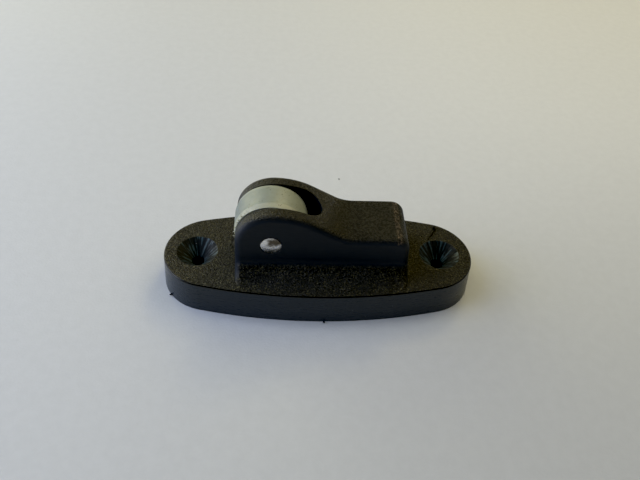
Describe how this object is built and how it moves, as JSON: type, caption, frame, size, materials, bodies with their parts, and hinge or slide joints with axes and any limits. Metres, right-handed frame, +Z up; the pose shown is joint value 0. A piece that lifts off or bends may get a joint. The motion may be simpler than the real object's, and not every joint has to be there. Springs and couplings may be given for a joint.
{
  "type": "bow roller",
  "caption": "Low moulded deck fitting with a long countersunk base plate and a humped housing that carries a free-turning roller on an axle pin.",
  "frame": {"origin": "on the mounting face, midway between the two screw holes", "axes": "+Z up from the mounting face, +X from the roller end to the tail, +Y across, along the pin"},
  "size_m": [0.077, 0.03, 0.0268],
  "materials": {
    "body_plastic": "black glass-filled nylon, fine spark-eroded texture on top, smooth sides",
    "roller_nylon": "off-white natural nylon, slightly see-through, satin",
    "pin_steel": "stainless, domed ends, lightly polished"
  },
  "bodies": {
    "body": {"body": "body_plastic", "pin": "pin_steel"},
    "roller": {"roller": "roller_nylon"}
  },
  "joints": [
    {"name": "roller_spin", "type": "hinge", "parent": "body", "child": "roller", "pos_m": [-0.01187, 0, 0.0181], "axis": [0, 1, 0], "continuous": true}
  ]
}
